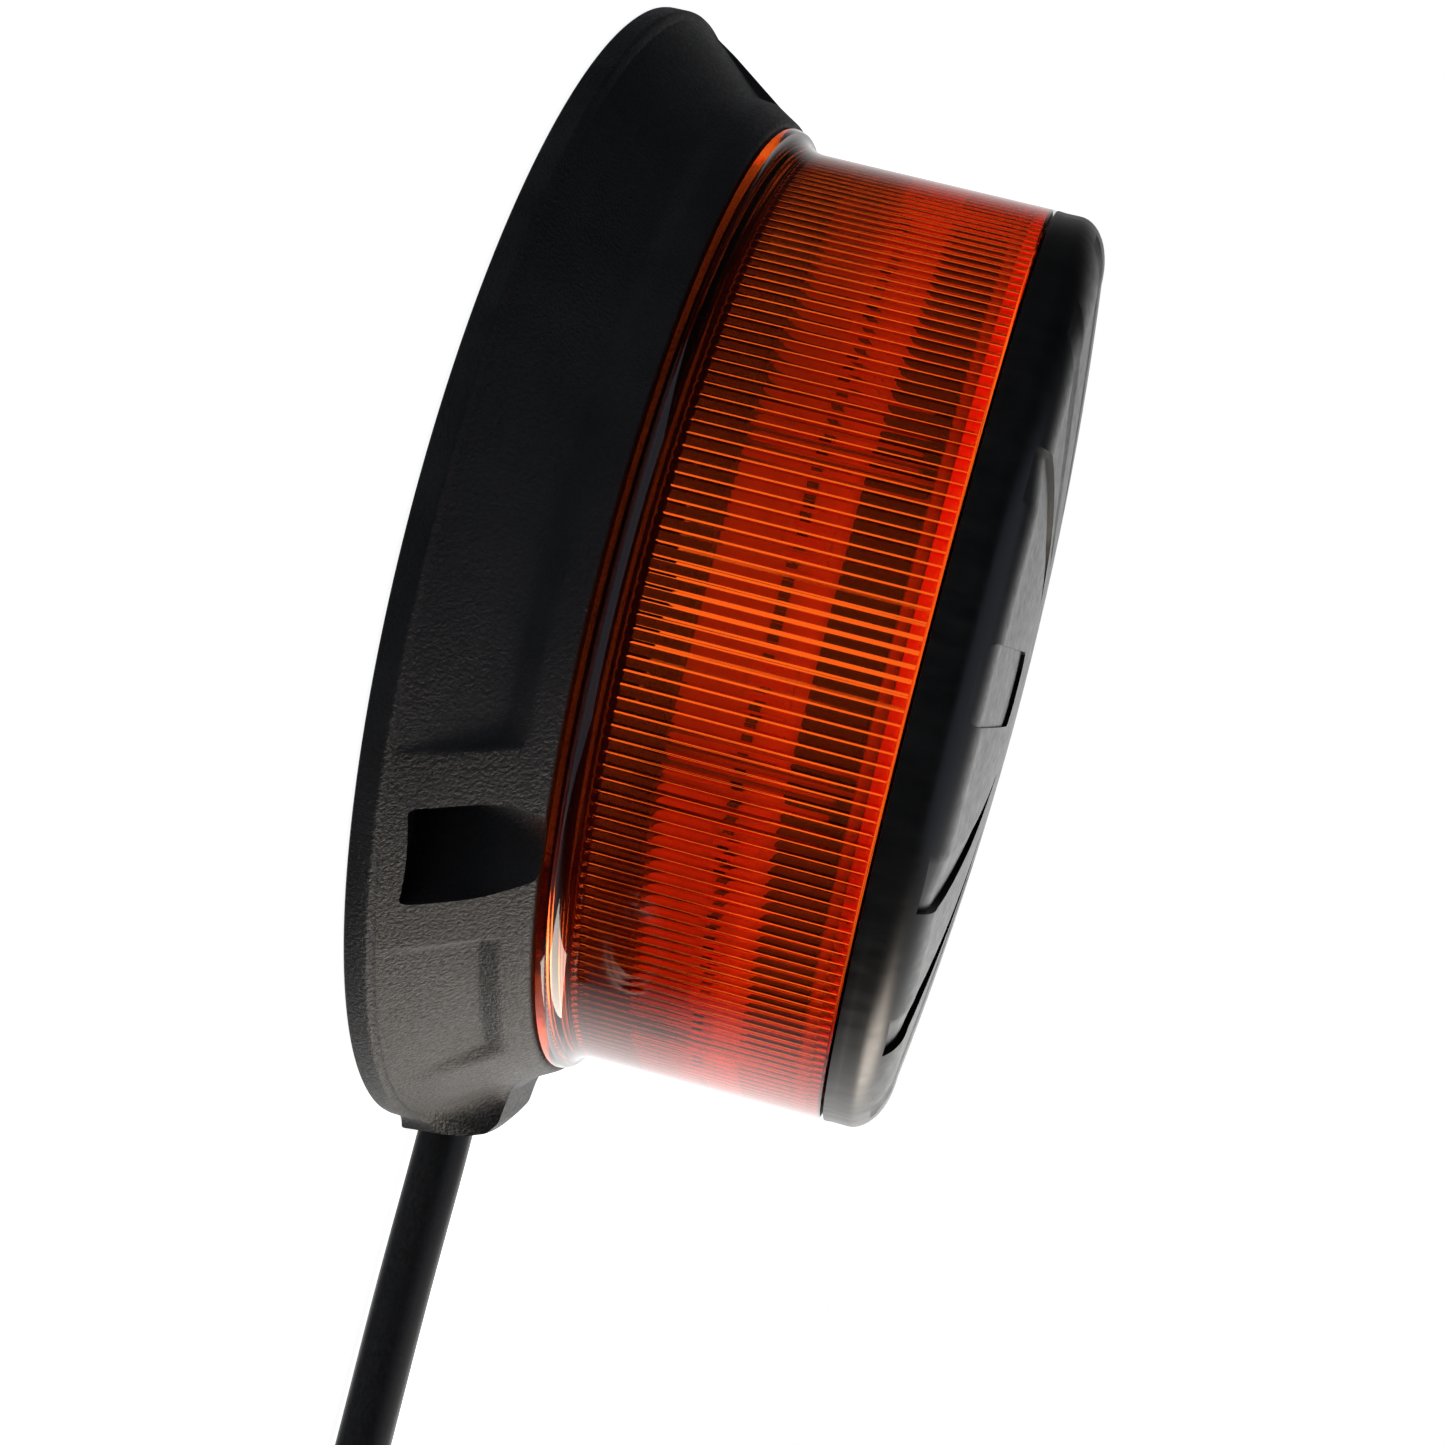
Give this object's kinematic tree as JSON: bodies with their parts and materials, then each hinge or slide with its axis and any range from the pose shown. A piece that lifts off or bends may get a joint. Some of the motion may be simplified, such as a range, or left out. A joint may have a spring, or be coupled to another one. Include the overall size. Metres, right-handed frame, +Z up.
{
  "type": "LED warning beacon",
  "caption": "Low round amber warning beacon with a fluted lens, gloss black cap, flared bolt-down base and a coiled flying-lead cable.",
  "frame": {"origin": "centre of the base's flat underside, on the lens axis", "axes": "+Z up along the lens axis, cable leaves towards -Y, one bolt pocket on +Y"},
  "size_m": [0.1931, 0.3012, 0.0607],
  "materials": {
    "housing_plastic": "fine spark-textured black moulded plastic",
    "cap_plastic": "polished black moulded plastic",
    "cover_plastic": "plain moulded black plastic",
    "lens_plastic": "clear amber moulded polycarbonate, fluted inside",
    "rubber": "soft black rubber",
    "seal_rubber": "brick-red silicone rubber",
    "cable_sheath": "satin black PVC sheath",
    "core_red": "red PVC core insulation, tinned ends",
    "core_black": "black PVC core insulation, tinned ends",
    "core_yellow": "yellow PVC core insulation, tinned ends",
    "screw_steel": "zinc-plated steel",
    "heat_sink": "extruded aluminium, satin",
    "led_board": "white solder mask on aluminium-core board",
    "led": "white package with yellow phosphor and clear dome",
    "driver_board": "green solder mask",
    "component": "moulded electronic parts",
    "reflector": "bright vacuum-metallised white plastic",
    "tie": "black nylon tie"
  },
  "bodies": {
    "root": {"base_housing": "housing_plastic", "bottom_cover": "cover_plastic", "breather_vent": "cover_plastic", "cover_screw_1": "screw_steel", "cover_screw_2": "screw_steel", "cover_screw_3": "screw_steel", "cover_screw_4": "screw_steel", "cable_grommet": "rubber", "lead_red": "core_red", "lead_black": "core_black", "lead_yellow": "core_yellow", "driver_board": "driver_board", "board_screw_1": "screw_steel", "board_screw_2": "screw_steel", "board_screw_3": "screw_steel", "terminal_block": "component", "inductor": "component", "capacitor": "component", "driver_chip": "component", "led_carrier": "cover_plastic", "carrier_screw_1": "screw_steel", "carrier_screw_2": "screw_steel", "carrier_screw_3": "screw_steel", "carrier_screw_4": "screw_steel", "heat_sink": "heat_sink", "led_board_1": "led_board", "led_1_1": "led", "led_1_2": "led", "led_board_2": "led_board", "led_2_1": "led", "led_2_2": "led", "led_board_3": "led_board", "led_3_1": "led", "led_3_2": "led", "led_board_4": "led_board", "led_4_1": "led", "led_4_2": "led", "led_board_5": "led_board", "led_5_1": "led", "led_5_2": "led", "led_board_6": "led_board", "led_6_1": "led", "led_6_2": "led", "led_board_7": "led_board", "led_7_1": "led", "led_7_2": "led", "led_board_8": "led_board", "led_8_1": "led", "led_8_2": "led", "top_reflector": "reflector", "lens": "lens_plastic", "lens_seal": "seal_rubber", "top_cap": "cap_plastic", "cable": "cable_sheath", "cable_coil": "cable_sheath", "cable_tail": "cable_sheath", "core_red": "core_red", "core_black": "core_black", "core_yellow": "core_yellow", "coil_tie": "tie"}
  },
  "joints": []
}
